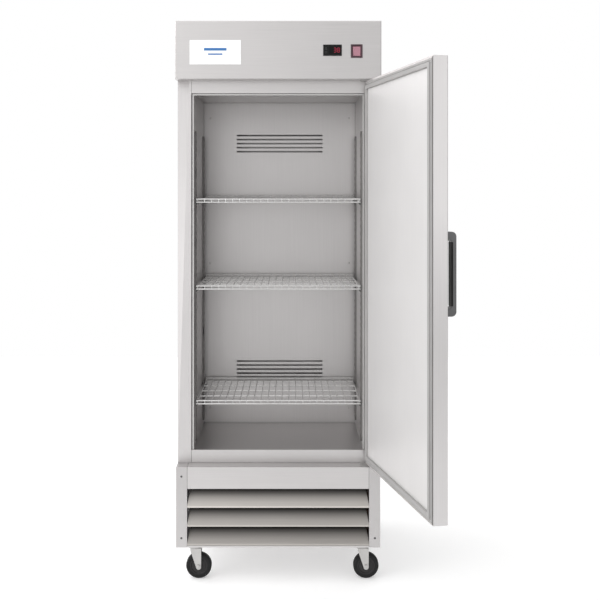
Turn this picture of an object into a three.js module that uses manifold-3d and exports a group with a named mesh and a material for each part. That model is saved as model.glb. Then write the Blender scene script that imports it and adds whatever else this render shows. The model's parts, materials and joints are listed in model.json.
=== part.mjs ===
// Reach-in refrigerator: one door, compressor in the base, four swivel casters.
// Millimetres, +Z up, +X to the right of a person facing it, +Y towards its back.
// Built in cabinet coordinates: X = 0 on the cabinet's centre plane, Y = 0 on the front
// of the header and base, Z = 0 on the floor. The door stands open.

import * as THREE from 'three';
import { mergeVertices } from 'three/addons/utils/BufferGeometryUtils.js';
import Module from 'manifold-3d';

const wasm = await Module();
wasm.setup();

// ---- driving dimensions ----
const WIDTH = 714;
const DEPTH = 720;
const HEIGHT = 1971;
const HEADER_WIDTH = 722;
const HEADER_Z = 1767;
const BASE_TOP = 411.4;
const BASE_Z = 130;
const SETBACK = 60;
const SHEET = 1.5;
const GAP = 0.3; // between touching pieces
const SEAM = 1; // open joint between neighbouring sheets on the front
const STILE = 48;
const WALL = 57;
const RAIL_Z = 1722.7;
const OPENING_TOP = 1716;
const RETURN = 22; // how far the frame's folded edges run back
const BREAKER_BACK = 15;
const CEILING = 1726;
const FLOOR = 457;
const LINER_BACK = 660;
const DUCT_Y = 496;
const ROOF_FOAM_TOP = 1790;
const SHELF_TOPS = { top: 1350, middle: 1039.5, bottom: 629.5 };
const DOOR_THICK = 45;
const DOOR_SETBACK = 6; // shut, the door's face stands this far behind the header's
const DOOR_GAP = 3;
const DOOR_REST = 101.6;
const HINGE_INSET = 20;
const HANDLE_Z = [1009, 1256];
const HANDLE_X = [32, 60]; // in from the door's free edge
const POST = 39;
const KICK_Z = 335;
const LOUVERS = 3;
const CASTER_X = 297;
const CASTER_Y = { front: 73, rear: 647 };
const CASTER_TRAIL = 14.5;
const WHEEL_R = 45.5;
const WHEEL_WIDTH = 30;
const WHEEL_SIDES = 28;

// ---- worked out ----
const HALF = WIDTH / 2;
const INNER = HALF - WALL;
const OPEN_HALF = HALF - STILE;
const HINGE = new THREE.Vector3(HALF - HINGE_INSET, DOOR_SETBACK + HINGE_INSET, 0);
const DOOR_Z = [BASE_TOP + DOOR_GAP, HEADER_Z - DOOR_GAP];
const WHEEL_Z = WHEEL_R * Math.cos(Math.PI / WHEEL_SIDES);

// ---- materials ----
const finish = (color, roughness, metalness) => ({ color, roughness, metalness });
const STEEL = finish(0xc9c6c4, 0.36, 0.85);
const LINER = finish(0xb9b6b3, 0.42, 0.8);
const PALE = finish(0xdad8d6, 0.4, 0.3);
const FOAM = finish(0xe6d9a8, 0.9, 0);
const TRIM = finish(0xd8d6d4, 0.5, 0);
const ZINC = finish(0xd5d4cf, 0.35, 0.85);
const CHROME = finish(0xcfcfcf, 0.2, 1);
const BLACK = finish(0x151515, 0.5, 0);
const GREY = finish(0x8d8b89, 0.7, 0);
const ENAMEL = finish(0x1c1c1e, 0.45, 0.2);
const ALLOY = finish(0xb8babc, 0.45, 0.9);
const RED = finish(0xa0505f, 0.35, 0);
const WHITE = finish(0xf2f2f2, 0.4, 0);
const RUBBER = finish(0x1b1b1b, 0.75, 0);

// ---- solids ----
function toSolid(geometry) {
  const bare = geometry.clone();
  bare.deleteAttribute('normal');
  bare.deleteAttribute('uv');
  const merged = mergeVertices(bare, 1e-4);
  const vertProperties = new Float32Array(merged.attributes.position.array);
  const triVerts = new Uint32Array(merged.index.array);
  return new wasm.Manifold(new wasm.Mesh({ numProp: 3, vertProperties, triVerts }));
}

function toGeometry(solid) {
  const { vertProperties, triVerts } = solid.getMesh();
  const geometry = new THREE.BufferGeometry();
  geometry.setAttribute('position', new THREE.BufferAttribute(vertProperties, 3));
  geometry.setIndex(new THREE.BufferAttribute(triVerts, 1));
  return geometry;
}

function join(...geometries) {
  return toGeometry(geometries.map(toSolid).reduce((a, b) => a.add(b)));
}

function cut(geometry, ...tools) {
  return toGeometry(tools.map(toSolid).reduce((a, b) => a.subtract(b), toSolid(geometry)));
}

// A block between two corners, each axis given as [low, high].
function block([x0, x1], [y0, y1], [z0, z1]) {
  const geometry = new THREE.BoxGeometry(x1 - x0, y1 - y0, z1 - z0);
  return geometry.translate((x0 + x1) / 2, (y0 + y1) / 2, (z0 + z1) / 2);
}

const polygon = (points) => new THREE.Shape(points.map(([u, v]) => new THREE.Vector2(u, v)));

function rectangle([u0, u1], [v0, v1]) {
  return polygon([[u0, v0], [u1, v0], [u1, v1], [u0, v1]]);
}

function frameShape(outerU, outerV, innerU, innerV) {
  const shape = rectangle(outerU, outerV);
  shape.holes.push(rectangle(innerU, innerV));
  return shape;
}

function extrude(shape, depth) {
  return new THREE.ExtrudeGeometry(shape, { depth, bevelEnabled: false, curveSegments: 8 });
}

// An outline in (Y, Z) drawn out along X, one in (X, Z) along Y, and one in (X, Y) along Z.
function alongX(shape, [x0, x1]) {
  const axes = new THREE.Matrix4().makeBasis(
    new THREE.Vector3(0, 1, 0), new THREE.Vector3(0, 0, 1), new THREE.Vector3(1, 0, 0));
  return extrude(shape, x1 - x0).applyMatrix4(axes).translate(x0, 0, 0);
}

function alongY(shape, [y0, y1]) {
  return extrude(shape, y1 - y0).rotateX(Math.PI / 2).translate(0, y1, 0);
}

function alongZ(shape, [z0, z1]) {
  return extrude(shape, z1 - z0).translate(0, 0, z0);
}

// A turned solid about +Z: profile points are [radius, height], from axis to axis or closed.
function turned(profile, sides) {
  const points = profile.map(([r, z]) => new THREE.Vector2(r, z));
  return new THREE.LatheGeometry(points, sides).rotateX(Math.PI / 2);
}

const rod = (r, [z0, z1], sides = 20) => turned([[0, z0], [r, z0], [r, z1], [0, z1]], sides);

function rodAlongY(r, x, [y0, y1], z, sides = 20) {
  return rod(r, [y0, y1], sides).rotateX(-Math.PI / 2).translate(x, 0, z);
}

const cabinet = new THREE.Group();

function add(name, geometry, { color, roughness, metalness }, parent = cabinet) {
  const material = new THREE.MeshStandardMaterial({ color, roughness, metalness });
  const mesh = new THREE.Mesh(geometry, material);
  mesh.name = name;
  parent.add(mesh);
  return mesh;
}

// ---- insulated body ----
function makeBody() {
  const shellZ = [BASE_TOP + GAP, HEIGHT];
  const shellY = [SETBACK + SHEET + GAP, DEPTH - SHEET - GAP];
  const shell = frameShape(
    [-HALF, HALF], shellZ,
    [-HALF + SHEET, HALF - SHEET], [shellZ[0] + SHEET, HEIGHT - SHEET]);
  add('outer_shell', alongY(shell, shellY), STEEL);
  add('rear_panel', block([-HALF, HALF], [DEPTH - SHEET, DEPTH], shellZ), STEEL);

  const foamX = HALF - SHEET - GAP;
  const foamZ = [shellZ[0] + SHEET + GAP, ROOF_FOAM_TOP];
  const foam = block([-foamX, foamX], [SETBACK + RETURN + 2, shellY[1]], foamZ);
  const cavityX = INNER + SHEET + GAP;
  const cavity = block(
    [-cavityX, cavityX], [0, LINER_BACK + SHEET + GAP],
    [FLOOR - SHEET - GAP, CEILING + SHEET + GAP]);
  add('insulation', cut(foam, cavity), FOAM);

  const linerY = [SETBACK + BREAKER_BACK + GAP, LINER_BACK + SHEET];
  const liner = block([-INNER - SHEET, INNER + SHEET], linerY, [FLOOR - SHEET, CEILING + SHEET]);
  const hollow = block([-INNER, INNER], [0, LINER_BACK], [FLOOR, CEILING]);
  add('inner_liner', cut(liner, hollow), LINER);
}

// ---- face frame round the door opening ----
function makeFaceFrame() {
  const returnY = SETBACK + RETURN;
  const tuckY = SETBACK + BREAKER_BACK;
  const top = HEIGHT - SHEET - GAP;
  const shellFloor = BASE_TOP + GAP + SHEET;
  for (const [side, name] of [[-1, 'left'], [1, 'right']]) {
    const range = (from, to) => [side * from, side * to].sort((a, b) => a - b);
    const flange = block(range(HALF, OPEN_HALF), [SETBACK, SETBACK + SHEET], [BASE_TOP + GAP, top]);
    const edge = block(range(OPEN_HALF + SHEET, OPEN_HALF), [SETBACK, returnY], [shellFloor + GAP, top]);
    add(`stile_${name}`, join(flange, edge), STEEL);
  }

  const span = [-OPEN_HALF + SEAM, OPEN_HALF - SEAM];
  const rail = polygon([
    [SETBACK, RAIL_Z], [SETBACK, top], [SETBACK + SHEET, top], [SETBACK + SHEET, RAIL_Z + SHEET],
    [tuckY, RAIL_Z + SHEET], [tuckY, RAIL_Z]]);
  add('top_rail', alongX(rail, span), STEEL);
  const sill = polygon([
    [SETBACK, BASE_TOP + GAP], [SETBACK, FLOOR], [tuckY, FLOOR], [tuckY, FLOOR - SHEET],
    [SETBACK + SHEET, FLOOR - SHEET], [SETBACK + SHEET, BASE_TOP + GAP]]);
  add('door_sill', alongX(sill, span), STEEL);

  // Thermal breaker on three sides: a narrow lip at the opening, and behind it a flange that
  // reaches the frame, so that a groove shows between the lip and the frame.
  const lip = 5;
  const lipY = SETBACK + 3;
  const flangeY = SETBACK + 10;
  const arch = (side, rise) => polygon([
    [-INNER - side, FLOOR + GAP], [-INNER, FLOOR + GAP], [-INNER, OPENING_TOP],
    [INNER, OPENING_TOP], [INNER, FLOOR + GAP], [INNER + side, FLOOR + GAP],
    [INNER + side, OPENING_TOP + rise], [-INNER - side, OPENING_TOP + rise]]);
  const strip = join(
    alongY(arch(lip, lip), [lipY, tuckY]),
    alongY(arch(OPEN_HALF - GAP - INNER, RAIL_Z - GAP - OPENING_TOP), [flangeY, tuckY]));
  add('breaker_strip', strip, TRIM);
}

// ---- cold side: rear duct, evaporator, fan, light ----
const EVAPORATOR_FAN = new THREE.Vector3(0, DUCT_Y + 40, 1390);
const DUCT_SLOTS = { tops: [1600, 705], count: 5, pitch: 16, height: 6, half: 170 };
const COIL = { half: 240, y: [DUCT_Y + 60, DUCT_Y + 130], z: [1080, 1260] };
const LAMP_HALF = 150;

// A hub with flat blades, each pitched about its own length.
function fanBlades(radius, hubR, hubHalf, count) {
  const halfWidth = radius * 0.26;
  const pitchAngle = 0.45;
  const parts = [rod(hubR, [-hubHalf, hubHalf], 16)];
  for (let i = 0; i < count; i += 1) {
    const blade = block([-halfWidth, halfWidth], [hubR - 2, radius], [-1, 1]);
    parts.push(blade.rotateY(pitchAngle).rotateZ((i * 2 * Math.PI) / count));
  }
  return join(...parts);
}

function makeColdSide() {
  const front = [DUCT_Y, DUCT_Y + SHEET];
  const slots = [];
  const { tops, count, pitch, height, half } = DUCT_SLOTS;
  for (const top of tops) {
    for (let i = 0; i < count; i += 1) {
      const slotTop = top - i * pitch;
      slots.push(block([-half, half], [DUCT_Y - 1, DUCT_Y + 3], [slotTop - height, slotTop]));
    }
  }
  const sheet = block([-INNER + GAP, INNER - GAP], front, [FLOOR + GAP, CEILING - GAP]);
  add('duct_panel', cut(sheet, ...slots), LINER);

  // A finned block, with its tube bends as a narrower block at each end.
  const coil = [block([-COIL.half, COIL.half], COIL.y, COIL.z)];
  for (const side of [-1, 1]) {
    const bendX = side * (COIL.half + 10);
    coil.push(block(
      [bendX - 12, bendX + 12], [COIL.y[0] + 10, COIL.y[1] - 10], [COIL.z[0] + 20, COIL.z[1] - 20]));
  }
  add('evaporator_coil', join(...coil), ALLOY);

  // Motor: a drum with a stub shaft, on a cross bar behind it.
  const { x, y, z } = EVAPORATOR_FAN;
  const drumY = [y + 14, y + 60];
  const motor = join(
    rodAlongY(28, x, drumY, z),
    rodAlongY(4, x, [y + 6.5, drumY[0] + 2], z, 12),
    block([x - 110, x + 110], [drumY[1] - 1, drumY[1] + 3], [z - 12, z + 12]));
  add('evaporator_fan_motor', motor, ENAMEL);
  const blades = fanBlades(84, 18, 6, 5).rotateX(-Math.PI / 2);
  add('evaporator_fan_blade', blades, GREY).position.copy(EVAPORATOR_FAN);

  const lampY = [SETBACK + RETURN + 4, SETBACK + RETURN + 26];
  const lamp = block([-LAMP_HALF, LAMP_HALF], lampY, [OPENING_TOP + 4, CEILING - GAP]);
  add('interior_light', lamp, WHITE);
}

// ---- shelf supports and shelves ----
const PILASTER = { y: { front: 97, rear: 440 }, half: 10, depth: 6, z: [FLOOR + 25, 1590] };

function makeShelving() {
  for (const [side, sideName] of [[-1, 'left'], [1, 'right']]) {
    for (const [placeName, y] of Object.entries(PILASTER.y)) {
      const wall = side * (INNER - GAP);
      const face = side * (INNER - PILASTER.depth);
      const web = face + side * SHEET;
      const [near, far] = [y - PILASTER.half, y + PILASTER.half];
      const channel = polygon([
        [wall, near], [face, near], [face, far], [wall, far],
        [wall, far - SHEET], [web, far - SHEET], [web, near + SHEET], [wall, near + SHEET]]);
      add(`pilaster_${sideName}_${placeName}`, alongZ(channel, PILASTER.z), LINER);
    }
  }
  for (const [name, top] of Object.entries(SHELF_TOPS)) {
    add(`shelf_${name}`, wireShelf(top), CHROME);
  }
}

// Rods run across under the deck wires; the front edge is a double rod and the back edge
// carries a raised rod that stops the load. Each deck wire is bent down in front, up behind.
const SHELF = { sideGap: 6.5, front: SETBACK + RETURN, back: DUCT_Y - 12, wires: 9 };

function wireShelf(top) {
  const half = INNER - SHELF.sideGap;
  const { front, back, wires } = SHELF;
  const rodHalf = 3;
  const wireHalf = 1.5;
  const across = (y, z, r) => block([-half, half], [y - r, y + r], [z - r, z + r]);
  const frontY = front + rodHalf;
  const backY = back - rodHalf;
  const parts = [
    across(frontY, top - 3, rodHalf), across(frontY, top - 14, rodHalf),
    across((front + back) / 2, top - 6, rodHalf), across(backY, top - 6, rodHalf),
    across(backY, top + 8, 2)];
  const first = -half + 2;
  for (let i = 0; i < wires; i += 1) {
    const x = first - (i * 2 * first) / (wires - 1);
    const wire = (y, z) => parts.push(block([x - wireHalf, x + wireHalf], y, z));
    wire([front + 1, back - 1], [top - 4.5, top - 1.5]);
    wire([frontY - wireHalf, frontY + wireHalf], [top - 15.5, top - 2]);
    wire([backY - wireHalf, backY + wireHalf], [top - 5, top + 9]);
  }
  return join(...parts);
}

// ---- header with its controls ----
const NAME_PLATE = { x: [-309, -130], y: [-1.5, -GAP], z: [1818, 1903] };
const CONTROLLER = { x: [157.5, 222.5], z: [1848, 1887], proud: 4, deep: 48 };
const BUTTONS = { size: 8, x: 6, z: 8, pitch: 13, proud: 4.8 };
const ROCKER = { x: [254, 295], z: [1841, 1888], proud: 3.5, deep: 30 };
const ROCKER_TILT = 9;
const CUTOUT = 3; // how far a bezel laps over its cutout

function makeHeader() {
  const half = HEADER_WIDTH / 2;
  const outer = block([-half, half], [0, SETBACK - GAP], [HEADER_Z, HEIGHT]);
  const inner = block([-HALF, HALF], [SHEET, SETBACK], [HEADER_Z + SHEET, HEIGHT - SHEET]);
  const cutout = ({ x, z }) => block(
    [x[0] + CUTOUT, x[1] - CUTOUT], [-1, SHEET + 1], [z[0] + CUTOUT, z[1] - CUTOUT]);
  add('header_panel', cut(outer, inner, cutout(CONTROLLER), cutout(ROCKER)), STEEL);
  add('name_plate', block(NAME_PLATE.x, NAME_PLATE.y, NAME_PLATE.z), WHITE);
  makeController();
  makeRockerSwitch();
  const box = block([-60, 120], [130, 260], [ROOF_FOAM_TOP + GAP, ROOF_FOAM_TOP + 80]);
  add('control_box', box, PALE);
}

// A bezel on the panel's face, joined to the body that passes through its cutout.
function snapIn({ x, z, proud, deep }) {
  const inset = CUTOUT + GAP;
  const body = block([x[0] + inset, x[1] - inset], [-1, deep], [z[0] + inset, z[1] - inset]);
  return join(block(x, [-proud, -GAP], z), body);
}

function makeController() {
  const buttonX = CONTROLLER.x[0] + BUTTONS.x;
  const buttonZ = (i) => CONTROLLER.z[0] + BUTTONS.z + i * BUTTONS.pitch;
  const well = (i) => block(
    [buttonX - GAP, buttonX + BUTTONS.size + GAP], [-CONTROLLER.proud - 1, 2],
    [buttonZ(i) - GAP, buttonZ(i) + BUTTONS.size + GAP]);
  add('controller', cut(snapIn(CONTROLLER), well(0), well(1)), BLACK);
  ['down', 'up'].forEach((name, i) => {
    const button = block(
      [buttonX, buttonX + BUTTONS.size], [-BUTTONS.proud, 0.4],
      [buttonZ(i), buttonZ(i) + BUTTONS.size]);
    add(`controller_button_${name}`, button, ENAMEL);
  });
}

function makeRockerSwitch() {
  const { x, z, proud } = ROCKER;
  const side = 6.5;
  const end = 5.5;
  const well = block([x[0] + side, x[1] - side], [-proud - 1.5, 14], [z[0] + end, z[1] - end]);
  add('rocker_bezel', cut(snapIn(ROCKER), well), ENAMEL);

  // The key rocks about a line across its middle; its face is two flats that meet in a shallow V.
  const reach = (z[1] - z[0]) / 2 - end - 1.5;
  const keyX = [x[0] + side + 0.7, x[1] - side - 0.7];
  const key = polygon([
    [-5.2, -reach], [-3, 0], [-5.2, reach], [3, reach - 3], [7, 4], [7, -4], [3, -reach + 3]]);
  const rocker = add('rocker_key', alongX(key, keyX), RED);
  rocker.position.set(0, 2, (z[0] + z[1]) / 2);
  rocker.rotation.x = THREE.MathUtils.degToRad(ROCKER_TILT);
}

// ---- base: machine compartment ----
const LOUVER = { lip: 6, recess: 26, overlap: 4, low: BASE_Z + 7, taper: 12 };
const STRUT_INSET = 40;
const DECK_FRONT = 32;

function makeBase() {
  const top = BASE_TOP - GAP;
  const outlineOf = (side) => polygon([
    [side * HALF, 0], [side * HALF, DEPTH - SHEET - GAP], [side * (HALF - SHEET), DEPTH - SHEET - GAP],
    [side * (HALF - SHEET), SHEET], [side * (HALF - POST + SHEET), SHEET],
    [side * (HALF - POST + SHEET), 30], [side * (HALF - POST), 30], [side * (HALF - POST), 0]]);
  for (const [side, name] of [[-1, 'left'], [1, 'right']]) {
    const corner = [side * HALF, side * (HALF - POST)].sort((a, b) => a - b);
    const cap = block(corner, [0, SETBACK], [top - SHEET, top]);
    add(`base_side_${name}`, join(alongZ(outlineOf(side), [BASE_Z, top]), cap), STEEL);
  }

  const span = [-HALF + POST + GAP, HALF - POST - GAP];
  const kick = polygon([
    [0, KICK_Z], [0, top], [SETBACK, top], [SETBACK, top - SHEET], [SHEET, top - SHEET],
    [SHEET, KICK_Z + SHEET], [12, KICK_Z + SHEET], [12, KICK_Z]]);
  add('kick_plate', alongX(kick, [span[0] - GAP + SEAM, span[1] + GAP - SEAM]), STEEL);
  add('louver_grille', louverGrille(span), STEEL);

  const deckX = HALF - SHEET - GAP;
  const deckTop = BASE_Z + SHEET;
  const deck = block([-deckX, deckX], [DECK_FRONT, DEPTH - 2 * SHEET], [BASE_Z, deckTop]);
  const lip = polygon([
    [0, BASE_Z], [0, BASE_Z + 6], [SHEET, BASE_Z + 6], [SHEET, deckTop],
    [DECK_FRONT + 1, deckTop], [DECK_FRONT + 1, BASE_Z]]);
  add('base_deck', join(deck, alongX(lip, span)), STEEL);
}

// Slanted blades: each starts set back under the edge above and comes forward to a short lip.
// Their ends slant in towards the back. Struts behind them, with a web to each blade, hold them
// as one grille.
function louverGrille([x0, x1]) {
  const { lip, recess, overlap, low, taper } = LOUVER;
  const thick = 2;
  const pitch = (KICK_Z - low) / LOUVERS;
  const bladeZ = Array.from({ length: LOUVERS }, (_, i) => low + i * pitch);
  const parts = bladeZ.map((z) => {
    const backZ = z + pitch + overlap;
    const blade = alongX(polygon([
      [0, z], [0, z + lip], [recess, backZ], [recess + thick, backZ], [thick, z + lip],
      [thick, z]]), [x0, x1]);
    const ends = [[x0, 1], [x1, -1]].map(([x, inward]) => {
      const wedge = [[x - inward, z + lip], [x - inward, backZ + 1], [x + inward * taper, backZ + 1]];
      return alongY(polygon(inward > 0 ? wedge.reverse() : wedge), [-1, recess + thick + 1]);
    });
    return cut(blade, ...ends);
  });
  for (const x of [x0 + STRUT_INSET, (x0 + x1) / 2, x1 - STRUT_INSET]) {
    parts.push(block([x - 6, x + 6], [recess + 1.5, recess + 4], [low + 8, KICK_Z + overlap]));
    for (const z of bladeZ) {
      const web = polygon([
        [1.5, z + lip], [recess + 3, z + pitch + 3], [recess + 3, z + lip]]);
      parts.push(alongX(web, [x - 1, x + 1]));
    }
  }
  return join(...parts);
}

const CONDENSER_FAN = new THREE.Vector3(110, 158, 255);
const CONDENSER = { x: [-90, 310], y: [52, 110], top: 385 };
const COMPRESSOR = { x: -170, y: 470, foot: 12 };
const PAN = { x: [20, 320], y: [400, 660], height: 45, wall: 2 };
const VENT = { count: 10, pitch: 20, height: 9, x: [-300, 180], low: BASE_Z + 40 };
const GLAND = { x: 270, z: BASE_Z + 60, hole: 14 };

function makeMachine() {
  const deckTop = BASE_Z + SHEET + GAP;
  // Compressor: a domed can on two feet, with its terminal stub on top.
  const can = [[0, 0], [60, 0], [82, 22], [88, 60], [88, 110], [78, 150], [45, 172], [0, 176]];
  const footY = 70;
  const feet = [-1, 1].map((s) => block(
    [-footY, footY], [s * footY - 12, s * footY + 12], [-COMPRESSOR.foot, 3]));
  const compressor = join(turned(can, 24), ...feet, rod(9, [170, 190], 12));
  compressor.translate(COMPRESSOR.x, COMPRESSOR.y, deckTop + COMPRESSOR.foot);
  add('compressor', compressor, ENAMEL);

  add('condenser_coil', block(CONDENSER.x, CONDENSER.y, [deckTop, CONDENSER.top]), ALLOY);
  const { x, y, z } = CONDENSER_FAN;
  const drumY = [y + 16, y + 80];
  const motor = join(
    rodAlongY(34, x, drumY, z),
    rodAlongY(4, x, [y + 7.5, drumY[0] + 2], z, 12),
    block([x - 15, x + 15], [drumY[1] - 20, drumY[1] - 4], [deckTop, z]));
  add('condenser_fan_motor', motor, ENAMEL);
  const blades = fanBlades(108, 20, 7, 4).rotateX(-Math.PI / 2);
  add('condenser_fan_blade', blades, ALLOY).position.copy(CONDENSER_FAN);

  const pan = block(PAN.x, PAN.y, [deckTop, deckTop + PAN.height]);
  const bowl = block(
    [PAN.x[0] + PAN.wall, PAN.x[1] - PAN.wall], [PAN.y[0] + PAN.wall, PAN.y[1] - PAN.wall],
    [deckTop + PAN.wall, deckTop + PAN.height + 1]);
  add('condensate_pan', cut(pan, bowl), BLACK);

  const through = [DEPTH - 5, DEPTH + 1];
  const holes = [rodAlongY(GLAND.hole, GLAND.x, through, GLAND.z)];
  for (let i = 0; i < VENT.count; i += 1) {
    const low = VENT.low + i * VENT.pitch;
    holes.push(block(VENT.x, through, [low, low + VENT.height]));
  }
  const plate = block([-HALF, HALF], [DEPTH - SHEET, DEPTH], [BASE_Z, BASE_TOP - GAP]);
  add('rear_grille', cut(plate, ...holes), STEEL);

  // The gland's collar stands on the plate's outer face.
  const bore = 7;
  const neck = GLAND.hole - 0.6;
  const gland = turned(
    [[bore, -10], [neck, -10], [neck, GAP], [19, GAP], [19, 5], [11, 14], [bore, 14], [bore, -10]],
    20);
  add('cord_gland', gland.rotateX(-Math.PI / 2), BLACK).position.set(GLAND.x, DEPTH, GLAND.z);
}

// ---- casters ----
const PLATE = { half: [30, 28], thick: 3 };
const STEM_R = 6;
const CHEEK = { x: [-15, 23.7], thick: 2.5, clearance: 2, eye: 9, drop: 3 };
const CROWN_DROP = 24; // from the top of the plate
// The bearing cup's radius at its foot, rim and neck, and how far the rim and neck stand above the foot.
const CUP = { footR: 22, rimR: 29.5, neckR: 25, rimZ: 9.5, neckZ: 13.5 };
const AXLE_R = 4;

function makeCaster(name, x, y) {
  const mount = new THREE.Group();
  mount.position.set(x, y, 0);
  cabinet.add(mount);
  const plateTop = BASE_Z - GAP;
  const [plateX, plateY] = PLATE.half;
  const plate = cut(
    block([-plateX, plateX], [-plateY, plateY], [plateTop - PLATE.thick, plateTop]),
    rod(STEM_R + 0.5, [0, plateTop + 1], 16));
  add(`caster_plate_${name}`, plate, ZINC, mount);

  // Fork: a bearing cup, a crown and two tapered cheeks that carry the axle behind the swivel
  // and end in a rounded toe below it.
  const crownZ = plateTop - CROWN_DROP;
  const legTop = crownZ + 1;
  const shoulder = crownZ - 4;
  const { eye } = CHEEK;
  const eyeZ = WHEEL_Z - CHEEK.drop;
  const cheekShape = polygon([[CHEEK.x[0], legTop], [CHEEK.x[0], shoulder]]);
  cheekShape.lineTo(CASTER_TRAIL - eye, eyeZ);
  cheekShape.absarc(CASTER_TRAIL, eyeZ, eye, Math.PI, 2 * Math.PI, false);
  cheekShape.lineTo(CHEEK.x[1], shoulder);
  cheekShape.lineTo(CHEEK.x[1], legTop);
  const inside = WHEEL_WIDTH / 2 + CHEEK.clearance;
  const outside = inside + CHEEK.thick;
  const axleEnd = outside + 3.5;
  const [footZ, cupTop] = [crownZ + 2, plateTop - PLATE.thick - 0.5];
  const fork = join(
    rod(STEM_R, [crownZ, plateTop - 1], 16),
    turned([
      [0, footZ], [CUP.footR, footZ], [CUP.rimR, footZ + CUP.rimZ], [CUP.neckR, footZ + CUP.neckZ],
      [CUP.neckR, cupTop], [0, cupTop]], 24),
    block(CHEEK.x, [-outside, outside], [crownZ, crownZ + 3]),
    alongY(cheekShape, [-outside, -inside]),
    alongY(cheekShape, [inside, outside]),
    rodAlongY(AXLE_R, CASTER_TRAIL, [-axleEnd, axleEnd], WHEEL_Z, 16));
  add(`caster_fork_${name}`, fork, ZINC, mount);

  // Wheel: a hub, a dished web and a tread with rounded shoulders, turned about the axle.
  const half = WHEEL_WIDTH / 2;
  const [bore, hubR, webR, rimR] = [AXLE_R + 0.4, 11, 28, 33];
  const tread = [
    [bore, -half - 1], [hubR, -half - 1], [webR, -half + 3], [rimR, -half], [WHEEL_R - 3, -half],
    [WHEEL_R, -half + 5], [WHEEL_R, half - 5], [WHEEL_R - 3, half], [rimR, half],
    [webR, half - 3], [hubR, half + 1], [bore, half + 1], [bore, -half - 1]];
  const wheel = turned(tread, WHEEL_SIDES).rotateX(-Math.PI / 2).rotateY(Math.PI / WHEEL_SIDES);
  add(`caster_wheel_${name}`, wheel, RUBBER, mount).position.set(CASTER_TRAIL, 0, WHEEL_Z);
}

function makeCasters() {
  for (const [side, sideName] of [[-1, 'left'], [1, 'right']]) {
    for (const [placeName, y] of Object.entries(CASTER_Y)) {
      makeCaster(`${placeName}_${sideName}`, side * CASTER_X, y);
    }
  }
}

// ---- hinges and door ----
const LEAF = { x: [HALF - 68, HALF - 2], y: [6, SETBACK - GAP], half: 1.2 };
const PIN = { r: 5, length: 18, clearance: 0.6 };

// A leaf screwed to the ledge or header, with a pin that stands into the door.
function hingeBracket(direction) {
  const leaf = block(LEAF.x, LEAF.y, [-LEAF.half, LEAF.half]);
  const pin = rod(PIN.r, direction > 0 ? [0, PIN.length] : [-PIN.length, 0], 16);
  return join(leaf, pin.translate(HINGE.x, HINGE.y, 0));
}

function makeHinges() {
  add('hinge_top', hingeBracket(-1), ZINC).position.z = HEADER_Z - DOOR_GAP / 2;
  add('hinge_bottom', hingeBracket(1), ZINC).position.z = BASE_TOP + DOOR_GAP / 2;
}

// The door is drawn closed, in coordinates that start at the hinge line, then swung open.
function makeDoor() {
  const door = new THREE.Group();
  door.position.copy(HINGE);
  door.rotation.z = THREE.MathUtils.degToRad(DOOR_REST);
  cabinet.add(door);
  const x = [HINGE_INSET - WIDTH, HINGE_INSET];
  const y = [-HINGE_INSET, DOOR_THICK - HINGE_INSET];
  const inset = (range, by) => [range[0] + by, range[1] - by];
  const rim = 20; // how far the skin is folded over round the inner panel

  const pinHoles = DOOR_Z.map((z) => rod(PIN.r + PIN.clearance, [z - 40, z + 40]));
  const skin = cut(
    block(x, y, DOOR_Z),
    block(inset(x, SHEET), inset(y, SHEET), inset(DOOR_Z, SHEET)),
    block(inset(x, rim), [0, y[1] + 1], inset(DOOR_Z, rim)),
    ...pinHoles);
  add('door_skin', skin, STEEL, door);

  const tight = SHEET + GAP;
  const pocket = 9;
  const pockets = DOOR_Z.map((z) => block([-pocket, x[1]], [-pocket, pocket], [z - 25, z + 25]));
  const foam = cut(block(inset(x, tight), inset(y, tight), inset(DOOR_Z, tight)), ...pockets);
  add('door_insulation', foam, FOAM, door);

  const panel = block(inset(x, rim + GAP), [y[1] - SHEET, y[1]], inset(DOOR_Z, rim + GAP));
  add('door_inner_panel', panel, PALE, door);
  add('door_gasket', doorGasket(x, y[1] + GAP), GREY, door);
  add('door_handle', doorHandle(x[0], y[0]), BLACK, door);
}

// Magnetic seal: a low outer bead, and a bulb that reaches the frame when the door is shut.
function doorGasket(x, y) {
  const ring = (from, to, height) => alongY(
    frameShape(
      [x[0] + from, x[1] - from], [DOOR_Z[0] + from, DOOR_Z[1] - from],
      [x[0] + to, x[1] - to], [DOOR_Z[0] + to, DOOR_Z[1] - to]),
    [y, y + height]);
  const reach = SETBACK - DOOR_SETBACK - DOOR_THICK - 2 * GAP;
  return join(ring(17, 31, reach), ring(7, 30, 3.5));
}

// Bow handle: two feet on the door's face and a grip that stands clear of it.
function doorHandle(freeEdge, face) {
  const [z0, z1] = HANDLE_Z;
  const out = face - 38;
  const grip = 15;
  const foot = 24;
  const bend = 14;
  const shape = new THREE.Shape();
  shape.moveTo(face - GAP, z0);
  shape.lineTo(out + bend, z0);
  shape.absarc(out + bend, z0 + bend, bend, -Math.PI / 2, Math.PI, true);
  shape.lineTo(out, z1 - bend);
  shape.absarc(out + bend, z1 - bend, bend, Math.PI, Math.PI / 2, true);
  shape.lineTo(face - GAP, z1);
  shape.lineTo(face - GAP, z1 - foot);
  shape.lineTo(out + grip + 5, z1 - foot);
  shape.lineTo(out + grip, z1 - foot - 5);
  shape.lineTo(out + grip, z0 + foot + 5);
  shape.lineTo(out + grip + 5, z0 + foot);
  shape.lineTo(face - GAP, z0 + foot);
  return alongX(shape, HANDLE_X.map((inset) => freeEdge + inset));
}

makeBody();
makeFaceFrame();
makeColdSide();
makeShelving();
makeHeader();
makeBase();
makeMachine();
makeCasters();
makeHinges();
makeDoor();

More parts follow.
